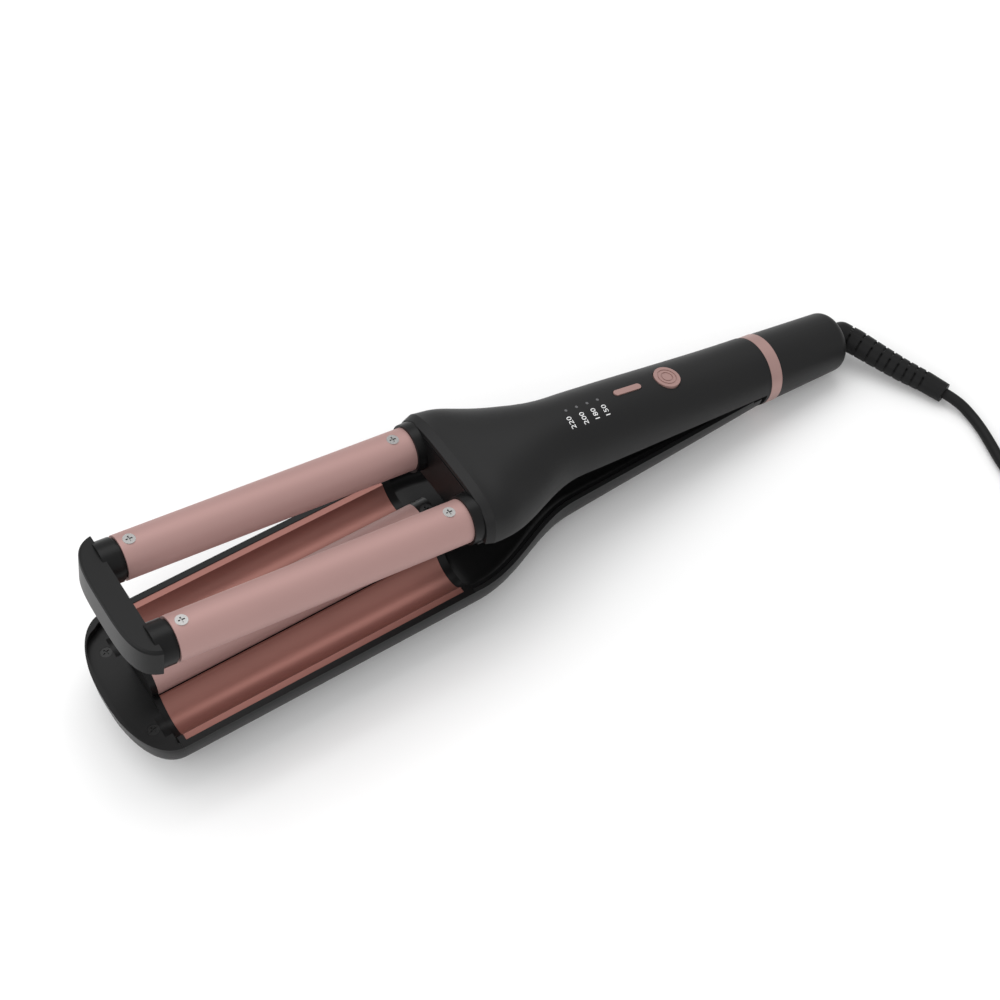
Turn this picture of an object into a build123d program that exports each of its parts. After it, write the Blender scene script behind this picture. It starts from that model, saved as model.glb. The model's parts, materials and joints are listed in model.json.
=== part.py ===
from build123d import *
import math
import os

# Triple-barrel hair waver, millimetres.
# Working frame: both arms closed and level, X forward along the barrels with X = 0 at the rear
# barrel screws, Y across with the barrels' axes at Z = 0, Z up.
# At the end the barrel arm turns up about its hinge to the open rest pose, and everything moves so
# that the jaw lies flat on Z = 0 and the origin is under the middle of the tool.

os.makedirs("parts", exist_ok=True)

# ---------------------------------------------------------------- driving dimensions: barrels
barrel_diameter = 20.0
barrel_wall = 1.5
barrel_spacing = 46.7
barrel_front = 130.9
barrel_insert = 16.1
hair_gap = 1.4
rear_screw_x = 0.0
front_screw_x = 126.1
plug_past_screw = 6.0
screw_head_diameter = 5.6
screw_shank_diameter = 2.6
screw_length = 6.0
plug_clearance = 0.1
bore_clearance = 0.05

# ---------------------------------------------------------------- nose block and front bridge
nose_face = -12.6
nose_depth = 14.6
nose_wing = 3.85
nose_power = 3.4
nose_under = -9.5
nose_recess = 0.3
nose_foot_inset = 2.0
collar_reach = 4.4
collar_wall = 1.5
collar_taper = 0.3
bridge_reach = 19.0
bridge_web = 11.2
bridge_half_height = 8.2
bridge_groove = 1.5
bridge_wing = 0.65
bridge_power = 3.5
bridge_chamfer = 2.4
bridge_fillet = 1.2
bridge_play = 0.6
boss_setback = 0.75

# ---------------------------------------------------------------- handle
grip_half_width = 20.9
grip_x = -78.0
flare_front = -20.0
flare_rear = -77.0
nose_top = 15.0
crown_x = -58.0
crown_top = 16.3
bevel_length = 3.9
bevel_drop = 1.8
housing_wall = 2.2
housing_fit = 0.15
cover_wall = 2.0
cover_inset = 5.2
cover_lip = 3.0
grip_under = -12.5
heel_under = -10.6
post_radius = 2.6
pilot_radius = 1.1

# ---------------------------------------------------------------- rear end of the handle
ring_front = -190.3
ring_width = 6.5
ring_radius = 16.9
ring_proud = 0.1
axis_drop = -8.65
collar_length = 1.7
heel_wall = 4.0
cap_length = 45.5
cap_end_radius = 15.0
cap_rounding = 5.0
cap_wall = 2.2
spigot_length = 16.0
spigot_wall = 2.0
swivel_radius = 6.5
swivel_reach = 0.6
swivel_spindle = 12.0
spindle_radius = 4.5
flange_radius = 9.0
flange_thickness = 2.0
axial_play = 0.1
contact_ring_radius = 5.6
contact_ring_width = 2.2
contact_ring_pitch = 4.0

# ---------------------------------------------------------------- jaw and lever
rim_drop = -5.25
plate_inset = 3.14
plate_thickness = 0.8
plate_rear = -4.9
plate_front = 132.1
plate_fit = 0.05
channel_edge_drop = -4.3
tray_overhang = 2.5
tray_lip = 0.35
tray_bottom = -32.45
tray_wall = 2.2
tray_seam = -9.5
tray_power = 2.3
flat_cut = 0.4
tray_nose_start = 133.0
tray_nose_length = 19.9
tray_nose_power = 2.2
end_wall = 2.8
end_wall_depth = 12.0
rail_shelf = 2.6
ledge_drop = -8.9
ledge_floor = 2.0
ledge_rim = 3.0
seam_x = -9.0
jaw_flare_front = -12.0
lever_end = -186.0
lever_end_wall = 1.0
heel_relief = 1.5
parting_gap = 0.4
trough_clearance = 0.45
holder_rear = -11.8
lever_wall = 1.6
lever_fit = 0.3
lever_floor_thickness = 1.8
lever_floor_gap = 0.9
nose_floor_gap = 2.9
jaw_screw_inset = 11.9
jaw_screw_half_spacing = 22.7
jaw_screw_head = 1.0
shell_screw_radius = 1.2
shell_screw_head = 2.6
shell_post_radius = 3.0
post_clearance = 0.15
saddle_depth = 4.0
heater_thickness = 3.0

# ---------------------------------------------------------------- hinge
hinge_x = -181.0
hinge_z = -15.0
pin_radius = 2.0
pin_length = 26.0
pin_clearance = 0.05
lug_half_width = 4.0
lug_radius = 3.5
ear_inner = 10.0
ear_radius = 3.8
spring_wire = 0.9
spring_turns = 4
spring_play = 0.4
open_angle = 9.1

# ---------------------------------------------------------------- controls
power_x = -134.5
power_diameter = 13.0
level_x = -111.0
level_length = 15.5
level_width = 3.2
button_clearance = 0.3
button_travel = 0.6
button_proud = 0.4
button_flange = 1.2
flange_height = 0.9
board_z = 1.0
board_thickness = 1.6
board_front = -62.0
board_rear = -150.0
board_half_width = 11.0
switch_size = 6.0
switch_height = 2.9
led_pitch = 5.9
led_front_x = -76.1
led_hole = 1.5
lead_radius = 1.1

# ---------------------------------------------------------------- cord, plug and strain relief
cord_diameter = 5.4
boot_base_radius = 6.9
boot_end_radius = 5.0
boot_straight = 7.2
boot_slot = 1.1
boot_slot_depth = 1.6
coil_radius = 33.4
coil_columns = 4
coil_layers = 2
coil_turns = 7.5
coil_lead = 28.0
tie_width = 12.0
tie_thickness = 0.8
plug_width = 35.0
plug_length = 26.0
plug_height = 13.7
plug_neck = 10.0
plug_pin_radius = 2.0
plug_pin_length = 19.0
plug_pin_spacing = 18.6

# ---------------------------------------------------------------- worked-out sizes
both_sides = (-1, 1)
far = 400.0
barrel_radius = barrel_diameter / 2
barrel_bore = barrel_radius - barrel_wall
barrel_y = barrel_spacing / 2
nose_front = nose_face + nose_recess
nose_rear = nose_face - nose_depth
nose_half_width = barrel_y + barrel_radius + nose_wing
tray_half_width = nose_half_width + tray_overhang
plate_half_width = tray_half_width - plate_inset
collar_front = nose_front + collar_reach
collar_radius = barrel_radius + collar_wall
barrel_rear = collar_front - barrel_insert
plug_radius = barrel_bore - plug_clearance
channel_radius = barrel_radius + hair_gap
centre_radius = barrel_y - channel_radius
trough_radius = collar_radius + trough_clearance
bridge_front = barrel_front + bridge_reach
boss_radius = barrel_radius - 0.1
lip_z = rim_drop + tray_lip
heel_start = ring_front + collar_length
cap_front = ring_front - ring_width
cap_rear = cap_front - cap_length
cap_inner = cap_rear + cap_wall
cap_bore = cap_end_radius - cap_wall - 0.6
jaw_front = tray_nose_start + tray_nose_length
ledge_rear = plate_front + end_wall
jaw_screw_x = jaw_front - jaw_screw_inset
board_top = board_z + board_thickness
switch_top = board_top + switch_height
led_places = [led_front_x - led_pitch * i for i in range(4)]
board_posts = [(board_front - 6.0, 8.0), (board_front - 6.0, -8.0),
               (board_rear + 6.0, 8.0), (board_rear + 6.0, -8.0)]
cover_posts = [(-48.0, 0.0), (-158.0, 7.5), (-158.0, -7.5)]
frame_screws = [((seam_x + plate_rear) / 2, 0.0), ((plate_front + ledge_rear) / 2, 0.0)]
lever_screws = [(-40.0, 0.0), (-130.0, 0.0)]
saddle_floor = -channel_radius - plate_thickness - saddle_depth
floor_z = tray_bottom


# ---------------------------------------------------------------- small helpers
def block(x0, x1, y0, y1, z0, z1):
    """Box given by its lowest and highest corners."""
    middle = Pos((x0 + x1) / 2, (y0 + y1) / 2, (z0 + z1) / 2)
    return middle * Box(x1 - x0, y1 - y0, z1 - z0)


def rod_x(x0, x1, radius, y=0.0, z=0.0):
    """Cylinder along X."""
    return Pos((x0 + x1) / 2, y, z) * Rot(0, 90, 0) * Cylinder(radius, abs(x1 - x0))


def rod_y(y0, y1, radius, x=0.0, z=0.0):
    """Cylinder along Y."""
    return Pos(x, (y0 + y1) / 2, z) * Rot(90, 0, 0) * Cylinder(radius, abs(y1 - y0))


def rod_z(z0, z1, radius, x=0.0, y=0.0):
    """Cylinder along Z."""
    return Pos(x, y, (z0 + z1) / 2) * Cylinder(radius, abs(z1 - z0))


def ease(t):
    """Cosine ease from 1 at t = 0 down to 0 at t = 1."""
    t = min(max(t, 0.0), 1.0)
    return 0.5 * (1 + math.cos(math.pi * t))


def mix(a, b, t):
    """Straight blend from a to b."""
    return a + (b - a) * min(max(t, 0.0), 1.0)


def group(solids):
    """Several separate solids kept in one node."""
    return Compound(children=list(solids))


# ---------------------------------------------------------------- outline laws along the handle
def edge_z(x):
    """Top edge of the jaw and lever."""
    return mix(lip_z, axis_drop - parting_gap, (seam_x - x) / (seam_x - lever_end))


def parting(x):
    """Lower edge of the handle housing."""
    return edge_z(x) + parting_gap


def grip_half(x):
    """Half width of the slim grip, tapering to the ring."""
    return mix(grip_half_width, ring_radius, (grip_x - x) / (grip_x - ring_front))


def housing_half(x):
    """Half width of the handle housing, flared towards the nose."""
    flare = ease((flare_front - x) / (flare_front - flare_rear))
    return grip_half(x) + (nose_half_width - grip_half(x)) * flare


def tray_half(x):
    """Half width of the jaw tray and lever."""
    flare = ease((jaw_flare_front - x) / (jaw_flare_front - flare_rear))
    return grip_half(x) + (tray_half_width - grip_half(x)) * flare


def housing_top(x):
    """Height of the housing's crown line."""
    if x > crown_x:
        rise = ease((crown_x - x) / (crown_x - flare_front))
        return mix(nose_top, crown_top, rise)
    ring_top = axis_drop + ring_radius
    fall = ease((crown_x - x) / (crown_x - cap_front))
    return mix(ring_top, crown_top, fall)


def housing_power(x):
    """Squareness of the housing's section: squarer at the nose."""
    return 2.15 + (nose_power - 2.15) * ease((nose_face - x) / 34.0)


def under_z(x):
    """Underside of the handle's lower cover."""
    front = mix(nose_under, grip_under, 1 - ease((nose_rear - x) / 40.0))
    return mix(front, heel_under, 1 - ease((-130.0 - x) / 45.0))


def lever_floor(x):
    """Top of the lever cover's floor, just under the handle's lower cover."""
    gap = mix(nose_floor_gap, lever_floor_gap, (nose_rear - x) / 33.0)
    return under_z(x) - gap


def tray_base(x):
    """Bottom line of the jaw and lever."""
    t = max(0.0, (flare_front - x) / (flare_front - lever_end))
    ring_bottom = axis_drop - ring_radius
    return tray_bottom - flat_cut * (1 - t) + (ring_bottom - tray_bottom) * t ** 1.8


def nose_shrink(x, length):
    """Rounding law of the jaw's front end."""
    t = (x - tray_nose_start) / length
    if t <= 0:
        return 1.0
    return (1 - t ** tray_nose_power) ** (1 / tray_nose_power)


# ---------------------------------------------------------------- sections
def arch_points(x, half, base, rise, power, steps=14):
    """Points of a superellipse arch from +Y over to -Y; a negative rise hangs down."""
    points = []
    for i in range(steps + 1):
        a = math.pi * i / steps
        c = math.cos(a)
        s = max(math.sin(a), 0.0)
        y = half * math.copysign(abs(c) ** (2 / power), c)
        if i * 2 == steps:
            y = 0.0
        points.append(Vector(x, y, base + rise * s ** (2 / power)))
    return points


def round_face(x, half, base, above, below, power):
    """Closed smooth section: one arch above the widest line and one below it."""
    top = Spline(*arch_points(x, half, base, above, power))
    bottom = Spline(*arch_points(x, half, base, -below, power)[::-1])
    return Face(Wire([top.edge(), bottom.edge()]))


def loft_rounds(stations, ruled=False):
    """Solid through a list of round sections."""
    return loft([round_face(*s) for s in stations], ruled=ruled)


def trough_face(x, half, top, bottom, corner):
    """Flat-bottomed section with rounded lower corners."""
    lean = corner * (1 - math.sqrt(0.5))
    wall = half - corner
    low = bottom + corner
    left = ThreePointArc((x, -wall, bottom), (x, lean - half, bottom + lean), (x, -half, low))
    right = ThreePointArc((x, half, low), (x, half - lean, bottom + lean), (x, wall, bottom))
    lines = [Line((x, wall, bottom), (x, -wall, bottom)), Line((x, -half, low), (x, -half, top)),
             Line((x, -half, top), (x, half, top)), Line((x, half, top), (x, half, low))]
    edges = [lines[0].edge(), left.edge(), lines[1].edge(), lines[2].edge()]
    return Face(Wire(edges + [lines[3].edge(), right.edge()]))


def evenly(x0, x1, count):
    """Evenly spaced places from x0 to x1."""
    return [x0 + (x1 - x0) * i / count for i in range(count + 1)]


def edge_prism(gap):
    """Everything above the jaw's and lever's edge line, raised by gap."""
    line = [(-far, edge_z(lever_end)), (lever_end, edge_z(lever_end)), (seam_x, lip_z), (far, lip_z)]
    points = [Vector(x, -far / 4, z + gap) for x, z in line]
    points += [Vector(far, -far / 4, far), Vector(-far, -far / 4, far), points[0]]
    return extrude(Face(Wire(Polyline(*points).edges())), amount=far / 2, dir=(0, 1, 0))


def sag(x, y, half, rise, power):
    """Drop of an arch section's surface at a distance y from its crown."""
    return rise * (1 - (1 - min(abs(y) / half, 1.0) ** power) ** (1 / power))


# ---------------------------------------------------------------- screws and barrels
def screw_hole(x, y, surface, depth):
    """Cutter for a countersunk screw let in from above at height surface."""
    head = screw_head_diameter / 2
    shank = screw_shank_diameter / 2
    sink = head - shank
    cone = Pos(x, y, surface - sink / 2) * Cone(shank, head, sink)
    mouth = rod_z(surface, surface + 3, head, x, y)
    return cone + mouth + rod_z(surface - depth, surface, shank, x, y)


def screw(x, y, surface, length):
    """Countersunk screw with a cross recess, a hair smaller than its hole."""
    head = screw_head_diameter / 2 - bore_clearance
    shank = screw_shank_diameter / 2 - bore_clearance / 2
    sink = head - shank
    body = Pos(x, y, surface - sink / 2) * Cone(shank, head, sink)
    body += rod_z(surface - length, surface - sink, shank, x, y)
    for angle in (0, 90):
        body -= Pos(x, y, surface) * Rot(0, 0, angle) * Box(head * 1.1, head * 0.25, sink * 0.8)
    return body


def barrel(side):
    """Plain aluminium tube with a screw hole near each end."""
    y = side * barrel_y
    tube = rod_x(barrel_rear, barrel_front, barrel_radius, y)
    tube -= rod_x(barrel_rear - 1, barrel_front + 1, barrel_bore, y)
    for x in (rear_screw_x, front_screw_x):
        tube -= screw_hole(x, y, barrel_radius, screw_length)
    return tube


def barrel_screws():
    """Four countersunk screws that hold the barrels on their plugs."""
    places = [(x, side * barrel_y) for side in both_sides for x in (rear_screw_x, front_screw_x)]
    return group([screw(x, y, barrel_radius, screw_length) for x, y in places])


def clamp_and_heater(x0, x1, bore, y):
    """Slit aluminium clamp that fills a tube, and the flat ceramic heater inside it."""
    radius = bore - bore_clearance
    slot = radius * 0.55
    height = heater_thickness / 2 + bore_clearance
    clamp = rod_x(x0, x1, radius, y)
    clamp -= block(x0 - 1, x1 + 1, y - slot, y + slot, -height, height)
    clamp -= block(x0 - 1, x1 + 1, y + slot - 1, y + radius + 1, -0.4, 0.4)
    half = heater_thickness / 2
    heater = block(x0 + 0.5, x1 - 6, y - slot + 0.1, y + slot - 0.1, -half, half)
    return clamp, heater


# ---------------------------------------------------------------- nose block and bridge
def nose_block():
    """Heat-resistant block in the nose that holds both barrels by sleeve and plug."""
    inset = housing_wall + housing_fit
    half = housing_half(nose_face) - bevel_drop * 0.7 - inset
    top = housing_top(nose_face) - bevel_drop - inset
    base = parting(nose_face)
    profile = round_face(nose_front, half, base, top - base, 8.0, housing_power(nose_face))
    body = extrude(profile, amount=nose_front - nose_rear, dir=(-1, 0, 0))
    body &= block(nose_rear, nose_front, -far, far, base, far)
    foot = half - nose_foot_inset
    body += block(nose_rear, nose_front, -foot, foot, nose_under, base + 0.5)
    hollow = barrel_y - collar_radius - 1.0
    body -= block(nose_rear - 1, nose_front - 3.0, -hollow, hollow, nose_under + 2.0, top - 2.0)
    middle = (nose_front + collar_front) / 2
    for side in both_sides:
        y = side * barrel_y
        body += rod_x(barrel_rear - 1.0, nose_front, collar_radius, y)
        ring = Cone(collar_radius, collar_radius - collar_taper, collar_reach)
        body += Pos(middle, y, 0) * Rot(0, 90, 0) * ring
        body -= rod_x(barrel_rear - 0.05, collar_front + 1, barrel_radius + bore_clearance, y)
        body += rod_x(barrel_rear - 0.1, rear_screw_x + plug_past_screw, plug_radius, y)
        body -= rod_x(nose_rear - 1, rear_screw_x + plug_past_screw + 1, 3.0, y)
        body -= screw_hole(rear_screw_x, y, barrel_radius, screw_length)
    return body


def bridge_plan(z, shrink):
    """Plan outline of the crescent bridge at height z, drawn in by shrink at its outer edge."""
    half = barrel_y + barrel_radius + bridge_wing - shrink
    points = []
    steps = 16
    for i in range(steps + 1):
        a = math.pi * i / steps
        c = math.cos(a)
        s = max(math.sin(a), 0.0)
        y = half * math.copysign(abs(c) ** (2 / bridge_power), c)
        if i * 2 == steps:
            y = 0.0
        reach = (bridge_reach - shrink) * s ** (2 / bridge_power)
        points.append(Vector(barrel_front + reach, y, z))
    curve = Spline(*points)
    return Face(Wire([curve.edge(), Line(points[-1], points[0]).edge()]))


def front_bridge():
    """Crescent end piece that ties the barrels together and plugs their front ends."""
    web_rear = bridge_front - bridge_web
    top = bridge_half_height
    levels = [(-top, bridge_chamfer), (bridge_chamfer - top, 0.0), (top - bridge_fillet, 0.0),
              (top - bridge_fillet * 0.3, bridge_fillet * 0.3), (top, bridge_fillet)]
    crescent = loft([bridge_plan(z, shrink) for z, shrink in levels], ruled=True)
    shape = crescent & block(web_rear, far, -far, far, -far, far)
    for side in both_sides:
        y = side * barrel_y
        boss = rod_x(barrel_front + bridge_groove, web_rear + 1.5, boss_radius, y)
        shape += boss - block(web_rear - boss_setback, far, -far, far, -far, 0.4 - top)
        shape += rod_x(barrel_front, barrel_front + bridge_groove + 0.5, barrel_bore + 0.4, y)
        shape += rod_x(front_screw_x - plug_past_screw, barrel_front + 0.5, plug_radius, y)
        shape -= screw_hole(front_screw_x, y, barrel_radius, screw_length)
    return shape


# ---------------------------------------------------------------- handle housing
def housing_station(x, shave=0.0, wall=0.0):
    """One section of the housing; wall makes the hollow, shave the bevelled front."""
    base = parting(x)
    top = housing_top(x) - shave - wall
    half = housing_half(x) - shave * 0.7 - wall
    return (x, half, base, top - base, 8.0, housing_power(x))


def housing_length(wall=0.0):
    """Outer form or hollow of the housing from behind the bevel to the heel, as a closed body."""
    rear = heel_start + (heel_wall + 1.0 if wall else 0.0)
    xs = evenly(nose_face - bevel_length, rear, 18)
    return loft_rounds([housing_station(x, 0.0, wall) for x in xs])


def housing_bevel(wall=0.0):
    """Outer form or hollow of the housing's bevelled nose."""
    past = 1.0 if wall else 0.0
    drop = bevel_drop * (1 + past / bevel_length)
    front = housing_station(nose_face + past, drop, wall)
    return loft_rounds([front, housing_station(nose_face - bevel_length, 0.0, wall)], True)


def housing_shell():
    """Hollow housing above its parting line."""
    length = housing_length() - housing_length(housing_wall)
    bevel = housing_bevel() - housing_bevel(housing_wall)
    return (length + bevel) & edge_prism(parting_gap)


def surface_frame(x):
    """Plane touching the crown line at x, its normal out of the handle."""
    step = 0.5
    slope = (housing_top(x + step) - housing_top(x - step)) / (2 * step)
    normal = Vector(-slope, 0, 1).normalized()
    return Plane(origin=(x, 0, housing_top(x)), x_dir=Vector(normal.Z, 0, -normal.X), z_dir=normal)


def slot_prism(length, width, low, high):
    """Round-ended bar along local X, from height low to high."""
    middle = (low + high) / 2
    body = Pos(0, 0, middle) * Box(length - width, width, high - low)
    for side in both_sides:
        body += Pos(side * (length - width) / 2, 0, middle) * Cylinder(width / 2, high - low)
    return body


def disc(radius, low, high):
    """Round disc from height low to high."""
    return Pos(0, 0, (low + high) / 2) * Cylinder(radius, high - low)


def control_holes():
    """Cutters for the two buttons and the four indicator windows."""
    power = surface_frame(power_x).location * disc(power_diameter / 2 + button_clearance, -6, 6)
    grow = 2 * button_clearance
    level = surface_frame(level_x).location * slot_prism(
        level_length + grow, level_width + grow, -6, 6)
    lights = [rod_z(board_z, housing_top(x) + 2, led_hole / 2, x) for x in led_places]
    return [power, level] + lights


def top_housing():
    """Upper half of the handle with the collar and spigot for the ring and the end cap."""
    shell = housing_shell()
    middle = housing_length(housing_wall / 2)
    for x, y in board_posts:
        shell += rod_z(board_top, housing_top(x) + 1, post_radius, x, y) & middle
    for x, y in cover_posts:
        foot = post_foot(under_z, x) + cover_wall
        shell += rod_z(foot, housing_top(x) + 1, post_radius, x, y) & (middle + rod_z(-20, 0, 5, x, y))
        shell -= rod_z(foot - 1, foot + 8, pilot_radius, x, y)
    shell += rod_x(heel_start, ring_front, ring_radius, 0, axis_drop)
    spigot = ring_radius - cap_wall - housing_fit
    shell += rod_x(heel_start, ring_front - spigot_length, spigot, 0, axis_drop)
    shell -= rod_x(heel_start + 1, ring_front - far / 2, spigot - spigot_wall, 0, axis_drop)
    for side in both_sides:
        shell -= rod_x(nose_rear - 0.2, 0, collar_radius + housing_fit, side * barrel_y)
        shell -= rod_x(heel_start - 1, heel_start + heel_wall + 3, lead_radius + 0.3,
                       side * 3.0, mains_height)
    for cutter in control_holes():
        shell -= cutter
    return shell


lead_height = board_z + board_thickness / 2
mains_height = board_z - lead_radius - 0.02


def cover_face(x, inset, floor, above):
    """Hanging section of the handle's lower cover."""
    bottom = under_z(x) + floor
    corner = max(min(4.5, 0.9 * (parting(x) - under_z(x))) - floor, 0.4)
    return trough_face(x, housing_half(x) - cover_inset - inset, parting(x) + above, bottom, corner)


def flange_face(x):
    """Rectangular section of the lower cover's flange, which stands inside the housing."""
    half = housing_half(x) - housing_wall - 3 * housing_fit
    low = parting(x)
    high = low + cover_lip
    points = [(x, -half, low), (x, half, low), (x, half, high), (x, -half, high), (x, -half, low)]
    return Face(Wire(Polyline(*points).edges()))


def under_cover():
    """Lower cover of the handle, which carries the hinge lug."""
    front = nose_rear - 0.3
    rear = heel_start + heel_wall + 1.4
    along = evenly(front, rear, 16)
    shell = loft([cover_face(x, 0.0, 0.0, 0.5) for x in along])
    shell += loft([flange_face(x) for x in along])
    hollow = [front + 0.01] + along[1:-1] + [rear + cover_wall]
    shell -= loft([cover_face(x, cover_wall, cover_wall, cover_lip + 2.0) for x in hollow])
    lug_top = under_z(hinge_x) + cover_wall / 2
    shell += block(rear, hinge_x + lug_radius, -lug_half_width, lug_half_width, hinge_z, lug_top)
    shell += rod_y(-lug_half_width, lug_half_width, lug_radius, hinge_x, hinge_z)
    shell -= rod_y(-far / 4, far / 4, pin_radius + pin_clearance, hinge_x, hinge_z)
    for x, y in cover_posts:
        shell -= rod_z(under_z(x) - 1, under_z(x) + 4, pilot_radius + 0.3, x, y)
        shell -= rod_z(under_z(x) - 1, under_z(x) + 1.0, post_radius, x, y)
    return shell


def cover_screws():
    """Screws that hold the lower cover to the housing's posts."""
    solids = []
    for x, y in cover_posts:
        low = under_z(x)
        body = rod_z(low + 0.05, low + 0.95, post_radius - 0.2, x, y)
        body += rod_z(low + 0.9, low + 8.0, pilot_radius - bore_clearance, x, y)
        solids.append(body)
    return group(solids)


# ---------------------------------------------------------------- ring, end cap and swivel
def trim_ring():
    """Anodised ring between the housing and the end cap."""
    ring = rod_x(cap_front + 0.05, ring_front - 0.05, ring_radius + ring_proud, 0, axis_drop)
    return ring - rod_x(cap_front - 1, ring_front + 1, ring_radius - cap_wall, 0, axis_drop)


def rear_cap():
    """Tapered end cap with a rounded end and a round mouth for the cord swivel."""
    taper = cap_length - cap_rounding
    cone = Cone(ring_radius - ring_proud, cap_end_radius, taper)
    body = Pos(cap_front - taper / 2, 0, 0) * Rot(0, -90, 0) * cone
    body += rod_x(cap_rear, cap_front - taper, cap_end_radius)
    end = body.edges().filter_by(GeomType.CIRCLE).sort_by(Axis.X)[:1]
    body = body.solid().fillet(cap_rounding * 0.98, end)
    body -= rod_x(ring_front - spigot_length - 1.0, cap_front + 1, ring_radius - cap_wall)
    body -= rod_x(cap_inner, cap_front, cap_bore)
    body -= rod_x(cap_rear - 1, cap_inner + 1, swivel_radius + bore_clearance)
    return Pos(0, 0, axis_drop) * body


def swivel_plug():
    """Rotating plug: a neck in the cap's mouth and a flange behind its end wall."""
    start = cap_inner + axial_play
    body = rod_x(cap_rear - swivel_reach, start, swivel_radius, 0, axis_drop)
    body += rod_x(start, start + flange_thickness, flange_radius, 0, axis_drop)
    body += rod_x(start, start + flange_thickness + swivel_spindle, spindle_radius, 0, axis_drop)
    return body


def contact_rings():
    """Two brass slip rings pressed on the swivel plug's spindle."""
    rings = []
    start = cap_inner + axial_play + flange_thickness + 1.8
    for i in range(2):
        x = start + contact_ring_pitch * i
        ring = rod_x(x, x + contact_ring_width, contact_ring_radius, 0, axis_drop)
        ring -= rod_x(x - 1, x + contact_ring_width + 1, spindle_radius + 0.02, 0, axis_drop)
        rings.append(ring)
    return group(rings)


def swivel_socket():
    """Fixed bearing ring in the end cap that keeps the swivel plug's flange in place."""
    x = cap_inner + 2 * axial_play + flange_thickness
    outer = cap_bore - bore_clearance
    body = rod_x(x, x + swivel_spindle, outer, 0, axis_drop)
    body -= rod_x(x - 1, x + swivel_spindle + 1, contact_ring_radius + 0.5, 0, axis_drop)
    ring = rod_x(cap_inner + 0.02, x + 0.1, outer, 0, axis_drop)
    ring -= rod_x(cap_rear, x + 1, flange_radius + 0.3, 0, axis_drop)
    return body + ring


# ---------------------------------------------------------------- controls
def flange_drop(x, half_width):
    """How far under the crown a button's flange sits to clear the housing's skin."""
    _, half, _, rise, _, power = housing_station(x, 0.0, housing_wall)
    return housing_wall + sag(x, half_width, half, rise, power) + 0.2


def stem_end(x):
    """Local height of a stem's foot, one press above the switch plunger."""
    return switch_top + button_travel + 0.1 - housing_top(x)


def power_button():
    """Round button with raised concentric rings."""
    radius = power_diameter / 2
    drop = flange_drop(power_x, radius + button_flange)
    body = disc(radius, -drop - 0.1, button_proud)
    for share in (0.74, 0.46):
        r = radius * share
        body -= disc(r, button_proud - 0.3, 2) - disc(r - 0.6, button_proud - 1, 3)
    body += disc(radius + button_flange, -drop - flange_height, -drop)
    body += disc(1.4, stem_end(power_x), -drop)
    return surface_frame(power_x).location * body


def level_button():
    """Bar-shaped button that steps through the heat settings."""
    drop = flange_drop(level_x, level_width / 2 + button_flange)
    grow = 2 * button_flange
    body = slot_prism(level_length, level_width, -drop - 0.1, button_proud)
    body += slot_prism(level_length + grow, level_width + grow, -drop - flange_height, -drop)
    body += disc(1.4, stem_end(level_x), -drop)
    return surface_frame(level_x).location * body


def circuit_board():
    """Control board under the housing's posts."""
    return block(board_rear, board_front, -board_half_width, board_half_width,
                 board_z, board_top - 0.02)


def tact_switches():
    """Two push switches under the buttons."""
    solids = []
    half = switch_size / 2
    for x in (power_x, level_x):
        body = block(x - half, x + half, -half, half, board_top, switch_top - 1.2)
        body += rod_z(switch_top - 1.3, switch_top, 1.5, x)
        solids.append(body)
    return group(solids)


def indicator_leds():
    """Four small lamps on the board."""
    return group([block(x - 1, x + 1, -0.8, 0.8, board_top, board_top + 0.9) for x in led_places])


def light_pipes():
    """Clear rods that carry each lamp's light to the surface."""
    radius = led_hole / 2 - bore_clearance
    return group([rod_z(board_top + 1.0, housing_top(x) - 0.05, radius, x) for x in led_places])


def board_parts():
    """Capacitor, triac and choke under the board."""
    capacitor = rod_x(-100.0, -84.0, 4.0, 4.5, board_z - 4.0)
    triac = block(-124.0, -114.0, -8.0, -3.0, board_z - 9.0, board_z)
    choke = rod_z(board_z - 8.0, board_z, 5.0, -136.0, 4.0)
    return group([capacitor, triac, choke])


def mains_lead(side):
    """One mains lead from the swivel's socket to the underside of the board."""
    start = cap_inner + 2 * axial_play + flange_thickness + swivel_spindle + 0.1
    return rod_x(start, board_rear + 6.0, lead_radius, side * 3.0, mains_height)


def wire(points, radius, bend):
    """Insulated lead: straight runs joined by tangent arcs."""
    path = FilletPolyline(*points, radius=bend)
    start = Plane(origin=path @ 0, z_dir=path % 0)
    return sweep(start * Circle(radius), path=path)


def barrel_leads():
    """Sleeved leads from the board to the two barrel heaters."""
    end = rear_screw_x + plug_past_screw + 1.0
    solids = []
    for side in both_sides:
        y = side * barrel_y
        points = [(board_front + 0.05, side * 6.0, lead_height),
                  (board_front + 10.0, side * 6.0, lead_height),
                  (nose_rear - 7.0, y, 0.0), (end - 0.05, y, 0.0)]
        solids.append(wire(points, 1.6, 8.0))
    return group(solids)


# ---------------------------------------------------------------- jaw
def tray_station(x, wall=0.0):
    """One section of the jaw tray or lever."""
    shrink = nose_shrink(x, tray_nose_length - wall)
    base = edge_z(x)
    power = mix(tray_power, 2.05, (seam_x - x) / 90.0)
    half = (tray_half(x) - wall) * shrink
    depth = (base - tray_base(x) - wall) * shrink
    return (x, half, base, 8.0 * shrink, depth, power)


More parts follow.
